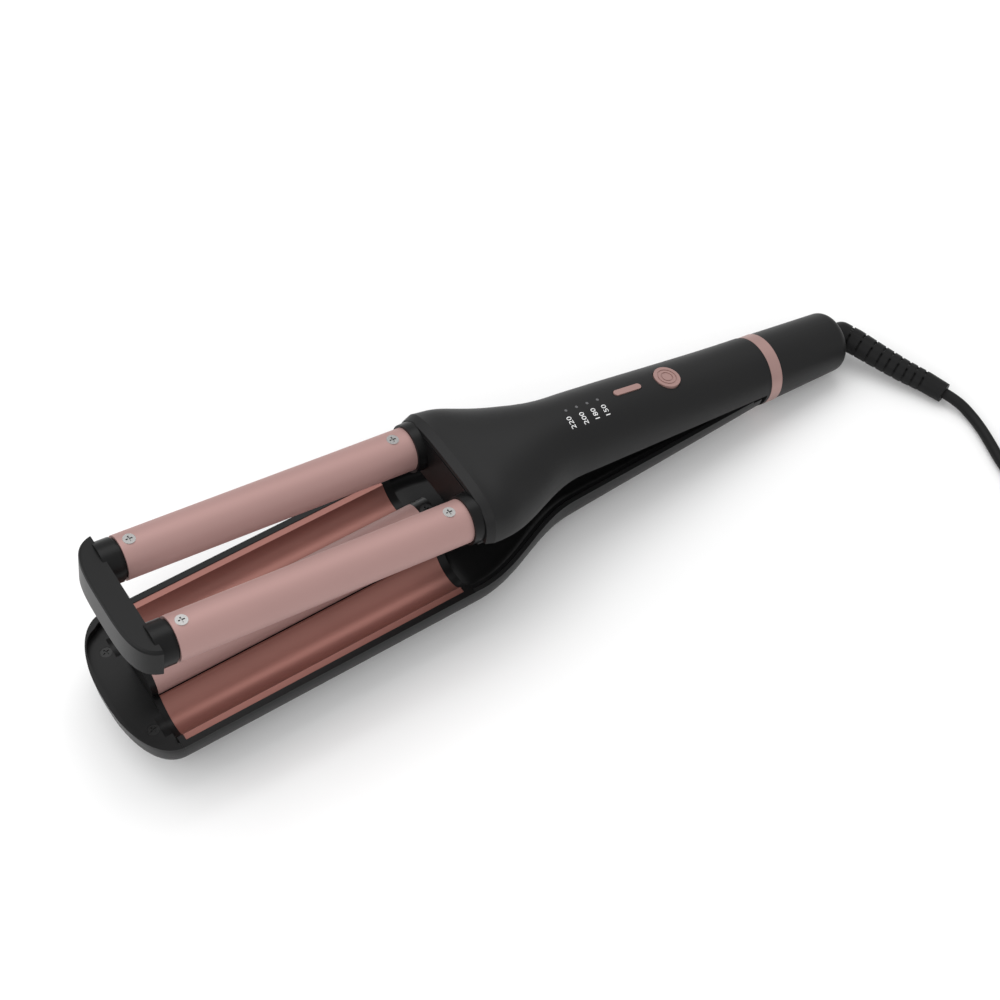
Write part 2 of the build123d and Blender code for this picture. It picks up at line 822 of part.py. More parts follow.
def tray_volume(wall=0.0):
    """Outer or inner volume of the jaw tray with the lever behind it, as a closed body."""
    rear = lever_end + (lever_end_wall if wall else 0.0)
    front = jaw_flare_front + 1.0
    body = loft_rounds([tray_station(x, wall) for x in evenly(rear, front, 18)])
    body += loft_rounds([tray_station(front, wall), tray_station(tray_nose_start, wall)], True)
    length = tray_nose_length - wall
    shares = [math.sin(math.radians(83.0 * i / 9)) for i in range(10)]
    nose = [tray_station(tray_nose_start + length * t, wall) for t in shares]
    return body + loft_rounds(nose)


tray_outer = tray_volume() & block(-far, far, -far, far, tray_bottom, far)
tray_inner = tray_volume(tray_wall)
tray_fit = tray_volume(tray_wall + lever_fit)
above_edge = edge_prism(0.0)
tray_filled = tray_outer - above_edge


def shell_floor(x):
    """Inside height of the shell's floor on the centre line."""
    depth = edge_z(x) - tray_base(x) - tray_wall
    return edge_z(x) - depth * nose_shrink(x, tray_nose_length - tray_wall)


def post_foot(floor, x):
    """Height at which a post of standard radius clears a sloping floor."""
    return max(floor(x - shell_post_radius), floor(x + shell_post_radius)) + post_clearance


def screw_from_below(x, y, length):
    """Pan-head screw let into the shell's underside."""
    low = max(tray_base(x), tray_bottom)
    body = rod_z(low + 0.05, low + 1.25, shell_screw_head - bore_clearance, x, y)
    return body + rod_z(low + 1.2, low + length, shell_screw_radius - bore_clearance, x, y)


def below_hole(x, y):
    """Cutter for a screw let into the shell's underside."""
    low = max(tray_base(x), tray_bottom)
    return rod_z(low - 2, low + 1.3, shell_screw_head, x, y) + rod_z(
        low - 2, low + 5, shell_screw_radius + 0.2, x, y)


def hinge_ears():
    """Ears inside the lever that hold the hinge pin's ends."""
    reach = ear_radius
    below = block(hinge_x - reach, hinge_x + reach, -far, far, -far, hinge_z)
    shape = below + rod_y(-far / 4, far / 4, reach, hinge_x, hinge_z)
    shape &= tray_volume(tray_wall / 2)
    return shape - block(-far, far, -ear_inner, ear_inner, -far, far)


def jaw_shell():
    """Lower shell of the jaw, running back as the closing lever."""
    shell = tray_outer - tray_inner - above_edge
    shell -= block(seam_x, far, -far, far, tray_seam, far)
    shell += hinge_ears()
    shell -= rod_y(-pin_length / 2, pin_length / 2, pin_radius, hinge_x, hinge_z)
    shell -= block(lever_end - 1, hinge_x, -far, far, edge_z(hinge_x) - heel_relief, far)
    for x, y in frame_screws + lever_screws:
        shell -= below_hole(x, y)
    for side in both_sides:
        y = side * jaw_screw_half_spacing
        post = rod_z(tray_bottom, ledge_drop - ledge_floor - 0.05, shell_post_radius, jaw_screw_x, y)
        shell += post & tray_outer
        shell -= rod_z(ledge_drop - 10, ledge_drop, shell_screw_radius, jaw_screw_x, y)
    return shell


def jaw_frame():
    """Heat-resistant frame: side rails, both end walls and the centre barrel's holders."""
    band = tray_filled & block(seam_x, ledge_rear, -far, far, tray_seam, far)
    seat = plate_half_width + plate_fit
    rail = seat - rail_shelf
    shelf = rim_drop - plate_thickness
    band -= block(plate_rear, plate_front, -seat, seat, shelf, far)
    band -= block(plate_rear, plate_front, -rail, rail, tray_seam - 1, far)
    deep = tray_seam - end_wall_depth
    band += tray_fit & block(plate_front, ledge_rear, -far, far, deep, tray_seam + 0.2)
    band += tray_fit & block(seam_x, plate_rear, -far, far, deep, tray_seam + 0.2)
    band += rod_x(plate_front, ledge_rear, centre_radius)
    band += rod_x(holder_rear, plate_rear, centre_radius)
    for side in both_sides:
        y = side * barrel_y
        band -= rod_x(plate_front - 1, ledge_rear + 1, channel_radius, y)
        band -= rod_x(holder_rear - 1, plate_rear + 1, trough_radius, y)
    plug = centre_radius - barrel_wall - plug_clearance
    band += rod_x(plate_rear - 0.5, plate_rear + 10, plug)
    band += rod_x(plate_front - 10, plate_front + 0.5, plug)
    band -= screw_hole((holder_rear + plate_rear) / 2, 0, centre_radius, screw_length)
    for x, y in frame_screws:
        foot = post_foot(shell_floor, x)
        band += rod_z(foot, deep + 6, shell_post_radius, x, y)
        band -= rod_z(foot - 1, foot + 6, shell_screw_radius, x, y)
    return band


def channel_plate(side):
    """Rolled sheet: flat rim strip and a concave channel round the barrel's place."""
    y = side * barrel_y
    rear = plate_rear + plate_fit
    front = plate_front - plate_fit
    body = rod_x(rear, front, channel_radius + plate_thickness, y)
    body -= rod_x(rear - 1, front + 1, channel_radius, y)
    body -= block(-far, far, min(y, 0), max(y, 0), channel_edge_drop, far)
    body -= block(-far, far, min(y, 2 * y), max(y, 2 * y), rim_drop, far)
    arc_edge = barrel_y + math.sqrt(channel_radius ** 2 - rim_drop ** 2)
    strip_y = sorted((side * (arc_edge - 0.3), side * plate_half_width))
    strip = block(rear, front, strip_y[0], strip_y[1], rim_drop - plate_thickness, rim_drop)
    strip -= rod_x(rear - 1, front + 1, channel_radius, y)
    return body + strip


def centre_barrel():
    """Third barrel, fixed in the jaw between the two channels."""
    tube = rod_x(plate_rear + plate_fit, plate_front - plate_fit, centre_radius)
    return tube - rod_x(plate_rear - 1, plate_front + 1, centre_radius - barrel_wall)


def channel_saddle(side):
    """Aluminium saddle that spreads the heat under a channel."""
    y = side * barrel_y
    half = channel_radius - saddle_depth
    outer = channel_radius + plate_thickness + bore_clearance
    body = block(plate_rear + 1, plate_front - 1, y - half, y + half, saddle_floor, rim_drop)
    return body - rod_x(plate_rear, plate_front, outer, y)


def channel_heater(side):
    """Flat ceramic heater under the saddle."""
    y = side * barrel_y
    top = saddle_floor - bore_clearance
    return block(plate_rear + 30, plate_front - 30, y - 5.0, y + 5.0, top - heater_thickness, top)


def jaw_front_cap():
    """Insert that closes the jaw's front end: a recessed ledge inside a raised rim."""
    start = ledge_rear + 0.05
    cap = tray_filled & block(start, far, -far, far, tray_seam, far)
    low = ledge_drop - ledge_floor
    cap += tray_fit & block(start, far, -far, far, low, tray_seam + 0.2)
    cap -= tray_volume(ledge_rim) & block(start - 5, far, -far, far, ledge_drop, far)
    cap -= extrude(bridge_plan(ledge_drop, -bridge_play), amount=20, dir=(0, 0, 1))
    boss_front = bridge_front - bridge_web - boss_setback
    for side in both_sides:
        cap -= rod_x(start - 1, boss_front + 0.4, boss_radius + trough_clearance, side * barrel_y)
        y = side * jaw_screw_half_spacing
        cap -= rod_z(low - 1, ledge_drop + 1, shell_screw_radius + 0.2, jaw_screw_x, y)
        cap -= rod_z(ledge_drop - jaw_screw_head, ledge_drop + 1, shell_screw_head + 0.1,
                     jaw_screw_x, y)
    return cap


def jaw_cap_screws():
    """Two dark screws that hold the front insert."""
    solids = []
    for side in both_sides:
        y = side * jaw_screw_half_spacing
        head = ledge_drop - jaw_screw_head + 0.02
        body = rod_z(head, ledge_drop - 0.1, shell_screw_head, jaw_screw_x, y)
        body += rod_z(ledge_drop - 8, head + 0.1, shell_screw_radius - bore_clearance,
                      jaw_screw_x, y)
        for angle in (20, 110):
            slot = Box(3.2, 0.7, 0.8)
            body -= Pos(jaw_screw_x, y, ledge_drop - 0.1) * Rot(0, 0, angle) * slot
        solids.append(body)
    return group(solids)


def holder_screw():
    """Screw that pins the centre barrel's rear holder."""
    return screw((holder_rear + plate_rear) / 2, 0, centre_radius - 0.05, screw_length - 0.1)


def jaw_shell_screws():
    """Screws that hold the lower shell from below."""
    return group([screw_from_below(x, y, 7.0) for x, y in frame_screws + lever_screws])


def jaw_leads():
    """Sleeved leads in the lever to the two channel heaters."""
    solids = []
    for side in both_sides:
        heater_z = saddle_floor - heater_thickness / 2
        points = [(-165.0, side * 6.0, -19.0), (-60.0, side * 7.0, -21.0), (-14.0, side * 8.0, -25.5),
                  (4.0, side * 10.0, -25.5), (18.0, side * barrel_y, heater_z),
                  (plate_rear + 29.95, side * barrel_y, heater_z)]
        solids.append(wire(points, 1.2, 5.0))
    return group(solids)


# ---------------------------------------------------------------- lever cover and hinge
def lever_face(x, inset, drop, above):
    """Hanging section of the lever's inner cover."""
    half = tray_half(x) - tray_wall - lever_fit - inset
    depth = edge_z(x) - lever_floor(x) + drop
    return trough_face(x, half, edge_z(x) + above, lever_floor(x) - drop, depth * 0.8)


def lever_cover():
    """Inner cover of the lever, an open trough for the handle's lower cover and nose."""
    front = seam_x - 0.1
    rear = hinge_x + 8.5
    along = evenly(front, rear, 16)
    cover = loft([lever_face(x, 0.0, lever_floor_thickness, 0.0) for x in along])
    hollow = [front + 0.01] + along[1:-1] + [rear - 0.01]
    cover -= loft([lever_face(x, lever_wall, 0.0, 2.0) for x in hollow])
    for x, y in lever_screws:
        low = post_foot(shell_floor, x)
        cover += rod_z(low, lever_floor(x) - lever_floor_thickness / 2, shell_post_radius, x, y)
        cover -= rod_z(low - 1, low + 6, shell_screw_radius, x, y)
    return cover


def hinge_pin():
    """Steel pin pressed in the lever's ears, turning in the handle's lug."""
    return rod_y(0.1 - pin_length / 2, pin_length / 2 - 0.1, pin_radius, hinge_x, hinge_z)


def hinge_springs():
    """Torsion springs round the pin, one on each side of the lug."""
    radius = pin_radius + 0.35 + spring_wire / 2
    pitch = spring_wire * 1.12
    height = pitch * spring_turns
    path = Helix(pitch=pitch, height=height, radius=radius)
    start = Plane(origin=path @ 0, z_dir=path % 0)
    coil = sweep(start * Circle(spring_wire / 2), path=path, is_frenet=True)
    low = lug_half_width + spring_play + spring_wire / 2
    left = Pos(hinge_x, low + height, hinge_z) * Rot(90, 0, 0) * coil
    right = Pos(hinge_x, -low, hinge_z) * Rot(90, 0, 0) * coil
    return group([left, right])


# ---------------------------------------------------------------- placing in the open pose
hinge_axis = Axis((hinge_x, 0, hinge_z), (0, 1, 0))


def swing(shape):
    """Turn a piece of the barrel arm from closed to the open rest pose."""
    return shape.rotate(hinge_axis, -open_angle)


def swing_direction(x, z):
    """The same turn for a direction in the XZ plane."""
    a = math.radians(open_angle)
    return (x * math.cos(a) - z * math.sin(a), x * math.sin(a) + z * math.cos(a))


def swing_point(x, z):
    """The same turn for a point in the XZ plane."""
    dx, dz = swing_direction(x - hinge_x, z - hinge_z)
    return (hinge_x + dx, hinge_z + dz)


# ---------------------------------------------------------------- cord side of the swivel
cord_radius = cord_diameter / 2
cord_z = floor_z + cord_radius + 0.02
boot_x, boot_z = swing_point(cap_rear - swivel_reach, axis_drop)
boot_dx, boot_dz = swing_direction(-boot_straight, 0)
boot_points = [
    (boot_x, 0.0, boot_z), (boot_x + boot_dx, 0.0, boot_z + boot_dz), (-254.0, 6.5, -20.9),
    (-258.7, 18.0, -22.6), (-264.4, 31.0, -24.6), (-270.5, 43.0, -26.3), (-274.0, 52.5, -27.1)]


def beyond(points, distance):
    """Point that carries the last run of a route on by a distance."""
    end = Vector(*points[-1])
    onward = (end - Vector(*points[-2])).normalized() * distance
    return tuple(end + onward)


cord_points = [
    boot_points[-1], beyond(boot_points, 8.5), (-277.6, 69.5, cord_z), (-276.0, 79.0, cord_z),
    (-273.4, 88.5, cord_z), (-270.2, 98.5, cord_z), (-268.0, 109.5, cord_z), (-268.0, 120.0, cord_z)]
coil_half_width = coil_columns * cord_radius
coil_height = coil_layers * cord_diameter
coil_y = cord_points[-1][1] + 30.0
coil_turn = coil_radius + coil_half_width - cord_radius
coil_x = cord_points[-1][0] - coil_turn
tail_z = cord_z + (coil_layers - 1) * cord_diameter
plug_z = floor_z + plug_height / 2 + 0.02
tail_x = coil_x - coil_turn
tail_points = [
    (tail_x, coil_y - coil_lead, tail_z), (tail_x, coil_y - 36.0, tail_z),
    (tail_x, coil_y - 46.0, plug_z), (tail_x, coil_y - 54.0, plug_z)]


def bend_radii(points):
    """Largest tangent arcs that the runs beside each corner allow."""
    radii = []
    for i in range(1, len(points) - 1):
        before = Vector(*points[i]) - Vector(*points[i - 1])
        after = Vector(*points[i + 1]) - Vector(*points[i])
        turn = math.radians(before.get_angle(after))
        radii.append(0.45 * min(before.length, after.length) / math.tan(turn / 2))
    return radii


def cord_tube(points, name):
    """Round cord along straight runs joined by tangent arcs."""
    radii = bend_radii(points)
    path = FilletPolyline(*points, radius=radii)
    start = Plane(origin=path @ 0, z_dir=path % 0)
    tube = sweep(start * Circle(cord_radius), path=path)
    share = tube.volume / (math.pi * cord_radius ** 2 * path.length)
    print(name, "length", round(path.length, 1), "volume share", round(share, 4))
    print(name, "radii", [round(r, 1) for r in radii])
    return tube, path.length


def boot_radius(share):
    """Radius of the strain relief from its base to its end."""
    return mix(boot_base_radius, boot_end_radius, share)


def strain_relief():
    """Bent rubber strain relief with cross slots."""
    points = [Vector(*p) for p in boot_points]
    runs = [(b - a).length for a, b in zip(points, points[1:])]
    total = sum(runs)
    body = None
    passed = 0.0
    for i, run in enumerate(runs):
        r0 = boot_radius(passed / total)
        r1 = boot_radius((passed + run) / total)
        direction = (points[i + 1] - points[i]).normalized()
        middle = Plane(origin=(points[i] + points[i + 1]) * 0.5, z_dir=direction)
        piece = middle.location * Cone(r0, r1, run)
        if i > 0:
            piece += Pos(*points[i]) * Sphere(r0)
        body = piece if body is None else body + piece
        passed += run
    passed = runs[0]
    for i, run in enumerate(runs[1:-1], start=1):
        direction = (points[i + 1] - points[i]).normalized()
        count = max(1, round(run / 5.2))
        for k in range(count):
            along = (k + 0.5) * run / count
            radius = boot_radius((passed + along) / total)
            place = Plane(origin=points[i] + direction * along, z_dir=direction)
            ring = Cylinder(radius + 1.5, boot_slot) - Cylinder(radius - boot_slot_depth, boot_slot)
            body -= place.location * ring
        passed += run
    return body


def annulus(inner, outer, low, high):
    """Flat ring about the coil's centre."""
    ring = rod_z(low, high, outer, coil_x, coil_y)
    return ring - rod_z(low - 1, high + 1, inner, coil_x, coil_y)


def coil_and_tie():
    """Coiled length of cord as one ring with a tangent lead at each end, and its tie."""
    low = floor_z + 0.01
    high = cord_z - cord_radius + coil_height + 0.05
    inner = coil_radius - coil_half_width - 0.05
    outer = coil_radius + coil_half_width + 0.05
    thin = tie_thickness
    tie = annulus(inner, outer, low, high)
    tie -= annulus(inner + thin, outer - thin, low + thin, high - thin)
    tie &= block(coil_x - tie_width / 2, coil_x + tie_width / 2, coil_y, coil_y + far / 4, -far, far)
    coil = annulus(inner, outer, low, high) - tie
    coil += rod_y(coil_y - 30.0, coil_y, cord_radius, coil_x + coil_turn, cord_z)
    coil += rod_y(coil_y - coil_lead, coil_y, cord_radius, tail_x, tail_z)
    return coil, tie


def plug_location():
    """Place of the plug: its origin where the cord enters, local X forward."""
    end = Vector(*tail_points[-1])
    direction = end - Vector(*tail_points[-2])
    angle = math.degrees(math.atan2(direction.Y, direction.X))
    return Pos(*end) * Rot(0, 0, angle)


def mains_plug():
    """Moulded plug body with a short neck for the cord."""
    body = Pos(plug_neck + plug_length / 2, 0, 0) * Box(plug_length, plug_width, plug_height)
    body = fillet(body.edges().filter_by(Axis.Z), 4.0)
    body = chamfer(body.edges().group_by(Axis.Z)[-1], 1.5)
    neck = Pos(plug_neck / 2 + 0.5, 0, 0) * Rot(0, 90, 0)
    body += neck * Cone(cord_radius + 1.0, plug_height / 2 - 1.2, plug_neck + 1.0)
    return plug_location() * body


def plug_pins():
    """Two round contact pins."""
    solids = []
    start = plug_neck + plug_length
    for side in both_sides:
        pin = rod_x(start, start + plug_pin_length - 1, plug_pin_radius, side * plug_pin_spacing / 2)
        pin += rod_x(start, start + plug_pin_length, plug_pin_radius - 0.8, side * plug_pin_spacing / 2)
        solids.append(plug_location() * pin)
    return group(solids)


# ---------------------------------------------------------------- all pieces
barrel_heater_front = front_screw_x - plug_past_screw - 1.0
barrel_heater_rear = rear_screw_x + plug_past_screw + 1.0
barrel_sets = [clamp_and_heater(barrel_heater_rear, barrel_heater_front, barrel_bore, side * barrel_y)
               for side in both_sides]
centre_clamp, centre_heater = clamp_and_heater(
    plate_rear + 11.0, plate_front - 11.0, centre_radius - barrel_wall, 0.0)

barrel_arm = {
    "barrel_left": barrel(1),
    "barrel_right": barrel(-1),
    "barrel_screws": barrel_screws(),
    "barrel_clamps": group([pair[0] for pair in barrel_sets]),
    "barrel_heaters": group([pair[1] for pair in barrel_sets]),
    "barrel_leads": barrel_leads(),
    "nose_block": nose_block(),
    "front_bridge": front_bridge(),
    "top_housing": top_housing(),
    "under_cover": under_cover(),
    "cover_screws": cover_screws(),
    "trim_ring": trim_ring(),
    "rear_cap": rear_cap(),
    "swivel_socket": swivel_socket(),
    "swivel_plug": swivel_plug(),
    "contact_rings": contact_rings(),
    "power_button": power_button(),
    "level_button": level_button(),
    "circuit_board": circuit_board(),
    "board_parts": board_parts(),
    "tact_switches": tact_switches(),
    "indicator_leds": indicator_leds(),
    "light_pipes": light_pipes(),
    "mains_lead_left": mains_lead(1),
    "mains_lead_right": mains_lead(-1),
    "hinge_springs": hinge_springs(),
}
jaw_arm = {
    "jaw_shell": jaw_shell(),
    "jaw_frame": jaw_frame(),
    "jaw_shell_screws": jaw_shell_screws(),
    "channel_plate_left": channel_plate(1),
    "channel_plate_right": channel_plate(-1),
    "channel_saddles": group([channel_saddle(side) for side in both_sides]),
    "channel_heaters": group([channel_heater(side) for side in both_sides]),
    "centre_barrel": centre_barrel(),
    "centre_clamp": centre_clamp,
    "centre_heater": centre_heater,
    "holder_screw": holder_screw(),
    "jaw_front_cap": jaw_front_cap(),
    "jaw_cap_screws": jaw_cap_screws(),
    "lever_cover": lever_cover(),
    "hinge_pin": hinge_pin(),
    "jaw_leads": jaw_leads(),
}
power_cord, cord_run = cord_tube(cord_points, "power_cord")
cord_tail, tail_run = cord_tube(tail_points, "cord_tail")
cord_coil, cord_tie = coil_and_tie()
cord_side = {
    "strain_relief": strain_relief(),
    "power_cord": power_cord,
    "cord_coil": cord_coil,
    "cord_tie": cord_tie,
    "cord_tail": cord_tail,
    "mains_plug": mains_plug(),
    "plug_pins": plug_pins(),
}

pieces = {name: swing(shape) for name, shape in barrel_arm.items()}
pieces.update(jaw_arm)
boxes = [shape.bounding_box() for shape in pieces.values()]
shift_x = -(min(b.min.X for b in boxes) + max(b.max.X for b in boxes)) / 2
shift = Vector(shift_x, 0, -floor_z)
pieces.update(cord_side)
for name, shape in pieces.items():
    export_step(Pos(*shift) * shape, "parts/" + name + ".step")

coil_run = 2 * math.pi * coil_radius * coil_turns + 30.0 + coil_lead
print("cord free length", round(cord_run + coil_run + tail_run, 1))
print("shift", [round(v, 4) for v in shift])
print("hinge", round(hinge_x + shift.X, 4), round(hinge_z + shift.Z, 4))
axis_x, axis_z = swing_point(cap_rear, axis_drop)
print("swivel", round(axis_x + shift.X, 4), round(axis_z + shift.Z, 4), swing_direction(1, 0))
for name, x in (("power", power_x), ("level", level_x)):
    frame = surface_frame(x)
    px, pz = swing_point(frame.origin.X, frame.origin.Z)
    print(name, round(px + shift.X, 4), round(pz + shift.Z, 4),
          [round(v, 5) for v in swing_direction(frame.z_dir.X, frame.z_dir.Z)])
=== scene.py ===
# %% [markdown]
# A hair waver lies open on its jaw. The tool's hard parts come ready made as a fixed frame, so this
# lesson gives them their finishes, adds the printed marks, lays the mains cord and lights the set.
# Everything is in metres: X runs along the barrels, Y across the tool and Z up from the table.

# %% Load the tool and keep its size
import bpy
import bmesh
import json
import math
from mathutils import Matrix, Vector


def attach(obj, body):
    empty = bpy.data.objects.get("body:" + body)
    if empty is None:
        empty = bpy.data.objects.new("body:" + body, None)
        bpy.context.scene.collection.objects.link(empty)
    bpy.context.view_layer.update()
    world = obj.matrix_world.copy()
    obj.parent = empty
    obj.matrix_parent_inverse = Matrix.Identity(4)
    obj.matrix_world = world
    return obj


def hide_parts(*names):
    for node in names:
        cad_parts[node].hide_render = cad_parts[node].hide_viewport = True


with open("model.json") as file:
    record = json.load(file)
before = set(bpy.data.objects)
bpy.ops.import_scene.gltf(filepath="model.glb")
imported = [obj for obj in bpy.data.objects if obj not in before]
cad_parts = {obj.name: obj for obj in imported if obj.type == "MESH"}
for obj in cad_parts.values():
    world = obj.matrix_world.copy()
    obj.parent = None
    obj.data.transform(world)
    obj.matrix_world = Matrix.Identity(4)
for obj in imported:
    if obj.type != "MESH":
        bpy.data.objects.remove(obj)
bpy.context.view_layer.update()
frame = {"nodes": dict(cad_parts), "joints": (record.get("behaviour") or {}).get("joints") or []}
scene = bpy.context.scene
nodes = frame["nodes"]

# %% [markdown]
# The camera looks down on the tool from beside its front end. A long lens from further off keeps the
# barrels nearly parallel, where a short lens close by would swell their near ends. A camera is set
# by its place and by three directions: its right side, its upper side and the way behind it. Those
# three make the columns of a turning matrix.

# %% Camera
camera_place = Vector((0.27874, 0.42536, 0.71300))
camera_right = Vector((-0.84164, 0.54004, 0.0003)).normalized()
camera_back = Vector((0.32106, 0.49993, 0.80436)).normalized()
camera_up = camera_back.cross(camera_right).normalized()
sensor_width = 36.0
lens_share = 1.8664

camera_data = bpy.data.cameras.new("camera")
camera = bpy.data.objects.new("camera", camera_data)
scene.collection.objects.link(camera)
turn = Matrix((camera_right, camera_up, camera_back)).transposed().to_4x4()
camera.matrix_world = Matrix.Translation(camera_place) @ turn
camera_data.sensor_width = sensor_width
camera_data.lens = sensor_width * lens_share
camera_data.shift_x = 0.0134
camera_data.shift_y = -0.0009
camera_data.clip_start = 0.01
scene.camera = camera
print("camera at", tuple(round(v, 3) for v in camera_place))

# %% [markdown]
# The mains cord leaves the bent rubber sleeve behind the handle, drops to the table and is wound
# into a neat coil, as a cord is put away. Four turns lie on the table, each inside the last. Then
# the cord climbs by its own thickness and winds back out on top of them. The measures are in
# millimetres of the tool's drawing, and drawing_to_frame moves them to where the tool stands.

# %% Cord: measures of the coil
MM = 0.001
table_drop = 32.45
drawing_to_frame = Vector((45.7201, 0.0, table_drop))
cord_radius = 2.7
cord_lift = 0.02
cord_z = -table_drop + cord_radius + cord_lift
coil_middle = Vector((-309.5, 150.0))
turn_radii = [41.1, 35.68, 30.26, 24.84]
layer_rise = 5.42
coil_turns = 7.5
full_turn = 360.0
inward_at, inward_length = 296.0, 52.0
outward_at, outward_length = 1645.0, 50.0
climb_at, climb_length = 1330.0, 50.0
print("coil", round(2 * (turn_radii[0] + cord_radius), 1), "mm across,", coil_turns, "turns")

# %% [markdown]
# A real winding doesn't jump from one turn to the next: the cord leans over during a short stretch
# of the turn. A share that eases in and out makes that lean, with no corner at either end of it. The
# whole winding is then one function, from the degrees wound so far to a radius and a height.

# %% Cord: how the winding goes
def eased(angle, start, length, change):
    """Part of a change reached at an angle, easing in and out over a stretch of degrees."""
    share = min(max((angle - start) / length, 0.0), 1.0)
    return change * share * share * (3 - 2 * share)


def winding(angle):
    """Radius and height of the coil's winding after a number of degrees."""
    radius = turn_radii[0]
    for i in range(len(turn_radii) - 1):
        step_in = turn_radii[i + 1] - turn_radii[i]
        step_out = turn_radii[-2 - i] - turn_radii[-1 - i]
        radius += eased(angle, inward_at + full_turn * i, inward_length, step_in)
        radius += eased(angle, outward_at + full_turn * i, outward_length, step_out)
    return radius, cord_z + eased(angle, climb_at, climb_length, layer_rise)


print("winding ends at radius", round(winding(coil_turns * full_turn)[0], 2), "mm")

# %% [markdown]
# The route has a few listed points from the sleeve to the coil and from the coil to the plug, with the
# coil's turns worked out between them. A smooth curve cuts inside its control points, so the points of a
# turn stand a little further out than the cord that they guide.

# %% Cord: route from the sleeve, through the coil, to the plug
points_per_turn = 16
inside_share = 0.981
plug_z = -25.58

route = [Vector(p) for p in (
    (-274.0, 52.5, -27.1), (-276.67, 59.75, -27.71), (-277.6, 69.5, cord_z), (-276.0, 79.0, cord_z),
    (-273.4, 88.5, cord_z), (-270.4, 98.5, cord_z), (-268.4, 109.5, cord_z), (-268.4, 120.0, cord_z),
    (-268.4, 131.0, cord_z))]
for i in range(int(coil_turns * points_per_turn)):
    angle = (i + 0.5) * full_turn / points_per_turn
    radius, height = winding(angle)
    reach = radius / inside_share
    bearing = math.radians(angle)
    route.append(Vector((coil_middle.x + reach * math.cos(bearing),
                         coil_middle.y + reach * math.sin(bearing), height)))
route += [Vector(p) for p in (
    (-350.6, 131.0, cord_z + layer_rise), (-350.7, 120.0, cord_z + 5.3), (-350.9, 110.0, cord_z + 4.3),
    (-351.0, 102.0, plug_z), (-351.0, 95.6, plug_z))]
print("cord control points", len(route))

# %% [markdown]
# The cord could be a mesh tube, but a curve with a round bevel is lighter and stays smooth. A NURBS
# curve suits it, because it bends like a real cord and never kinks. Its order and its end setting
# only hold once the points are there, so they are set after them.

# %% Cord: one smooth rod along the route
def bent_rod(name, places, radius, steps, roundness):
    """Round rod along a NURBS line, from places and a radius in the drawing's millimetres."""
    curve = bpy.data.curves.new(name, "CURVE")
    curve.dimensions = "3D"
    line = curve.splines.new("NURBS")
    line.points.add(len(places) - 1)
    for point, place in zip(line.points, places):
        point.co = (*((place + drawing_to_frame) * MM), 1.0)
    line.order_u = 3
    line.use_endpoint_u = True
    curve.resolution_u = steps
    curve.bevel_depth = radius * MM
    curve.bevel_resolution = roundness
    curve.use_fill_caps = True
    rod = bpy.data.objects.new(name, curve)
    scene.collection.objects.link(rod)
    return rod


mains_cord = bent_rod("mains_cord", route, cord_radius, steps=8, roundness=6)
print("cord", 2 * cord_radius, "mm thick")

# %% [markdown]
# The rubber sleeve has cross slots that stop at ribs running along it, so they read as rows of
# small windows. The ready-made sleeve has its slots all round; four slim ribs laid flush with its
# surface divide them. Each rib is a rod that follows the sleeve's bent middle line at one bearing
# round it, counted from the side that faces the camera.

# %% Ribs of the rubber sleeve
sleeve_line = [Vector(p) for p in (
    (-250.24, 0.0, -19.66), (-254.0, 6.5, -20.9), (-258.7, 18.0, -22.6), (-264.4, 31.0, -24.6),
    (-270.5, 43.0, -26.3), (-273.3, 50.6, -26.9))]
sleeve_radii = [6.69, 6.47, 6.11, 5.69, 5.29, 5.07]
rib_bearings_and_radii = [(76, 2.4), (-20, 1.0), (-108, 1.4), (164, 1.8)]
rib_proud = 0.02


def rib_places(bearing, rib_radius):
    """Places along the sleeve at one bearing, so deep that the rib's outer side meets the surface."""
    turned = math.radians(bearing)
    last = len(sleeve_line) - 1
    places = []
    for i, place in enumerate(sleeve_line):
        ahead = sleeve_line[min(i + 1, last)] - sleeve_line[max(i - 1, 0)]
        sideways = ahead.cross(camera_back).normalized()
        facing = sideways.cross(ahead).normalized()
        side = facing * math.cos(turned) + sideways * math.sin(turned)
        places.append(place + side * (sleeve_radii[i] - rib_radius + rib_proud))
    return places


sleeve_ribs = [bent_rod("sleeve_rib_%d" % (i + 1), rib_places(bearing, radius), radius,
                        steps=12, roundness=4)
               for i, (bearing, radius) in enumerate(rib_bearings_and_radii)]
print("sleeve ribs", len(sleeve_ribs))

# %% [markdown]
# A strip of woven hook tape holds the coil together. It follows the section of the bundle, which is
# a rectangle with rounded corners. Each corner is drawn as a curve between two points on the sides
# that meet there, with the corner itself pulling at it.

# %% Cord tie: its section
tie_corner = 1.6
corner_steps = 5
near_side = coil_middle.y + 21.9
far_side = coil_middle.y + 43.8
bottom, top = -32.05, -21.5


def rounded_outline(corners, radius):
    """Points of a closed outline whose corners are rounded."""
    outline = []
    for i, corner in enumerate(corners):
        here = Vector(corner)
        before = (Vector(corners[i - 1]) - here).normalized()
        after = (Vector(corners[(i + 1) % len(corners)]) - here).normalized()
        for k in range(corner_steps + 1):
            share = k / corner_steps
            outline.append(here + before * radius * (1 - share) ** 2 + after * radius * share ** 2)
    return outline


section = rounded_outline([(near_side, bottom), (far_side, bottom), (far_side, top), (near_side, top)],
                          tie_corner)
print("points round the tie", len(section))

# %% [markdown]
# The band itself is that section set out in rows across the tape's width and skinned with faces. A
# Solidify modifier gives the skin the tape's thickness on its outer side only, so the inner side
# stays where the cord is.

# %% Cord tie: the band
tie_width = 12.0
tie_thickness = 0.4
tie_rows = 13

